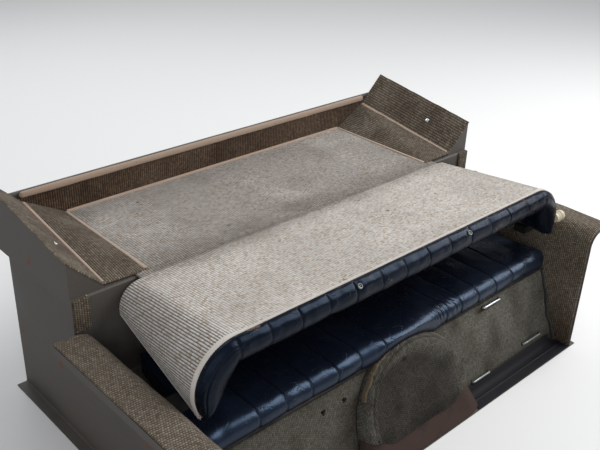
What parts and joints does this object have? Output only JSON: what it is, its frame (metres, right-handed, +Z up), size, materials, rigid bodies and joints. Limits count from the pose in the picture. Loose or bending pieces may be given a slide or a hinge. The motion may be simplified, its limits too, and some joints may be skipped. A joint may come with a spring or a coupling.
{
  "type": "folding rear seat",
  "caption": "Occasional rear seat for a small open car on its pressed-steel pan: bench cushion and a backrest that folds forward into a carpeted luggage deck.",
  "frame": {"origin": "middle of the pan's footprint, at floor level", "axes": "+X to the seat's left side, -Y forwards in the car, +Z up"},
  "size_m": [1.38, 0.82, 0.574],
  "materials": {
    "pan_paint": "semi-gloss black paint on pressed steel, dusty, rust at edges",
    "board_paint": "black painted pressed board",
    "square_weave": "square-weave loop carpet, beige brown, soiled",
    "ribbed_carpet": "ribbed loop carpet, grey beige, with spots",
    "trim_band": "padded cloth band, pinkish beige",
    "seat_board": "plain plywood",
    "black_leather": "black leather, semi-gloss, worn at seams and edges",
    "plated_steel": "dull zinc plating",
    "chrome": "bright chrome",
    "ivory_plastic": "aged ivory plastic",
    "black_rubber": "matt black rubber"
  },
  "bodies": {
    "pan": {"heel_board": "pan_paint", "seat_platform": "pan_paint", "shelf_panel": "pan_paint", "bulkhead": "pan_paint", "side_panel_left": "pan_paint", "side_panel_right": "pan_paint", "tunnel_cover": "pan_paint", "wheel_arch_left": "pan_paint", "wheel_arch_right": "pan_paint", "heel_carpet": "square_weave", "tunnel_carpet": "square_weave", "side_carpet_left": "square_weave", "side_carpet_right": "square_weave", "arch_carpet_left": "ribbed_carpet", "arch_carpet_right": "ribbed_carpet", "shelf_carpet": "ribbed_carpet", "bulkhead_carpet": "ribbed_carpet", "bulkhead_trim": "trim_band", "cushion_boards": "seat_board", "cushion": "black_leather", "hinge_fixed_leaves": "plated_steel", "hinge_pins": "plated_steel", "heel_bars": "chrome", "stop_pads": "black_rubber"},
    "backrest": {"back_carpet": "ribbed_carpet", "back_board": "board_paint", "back_pad": "black_leather", "hinge_moving_leaves": "plated_steel", "edge_studs": "chrome", "end_knob": "ivory_plastic"}
  },
  "joints": [
    {"name": "backrest_fold", "type": "hinge", "parent": "pan", "child": "backrest", "pos_m": [0, 0.0374, 0.4333], "axis": [-1, 0, 0], "range_deg": [0, 98]}
  ]
}
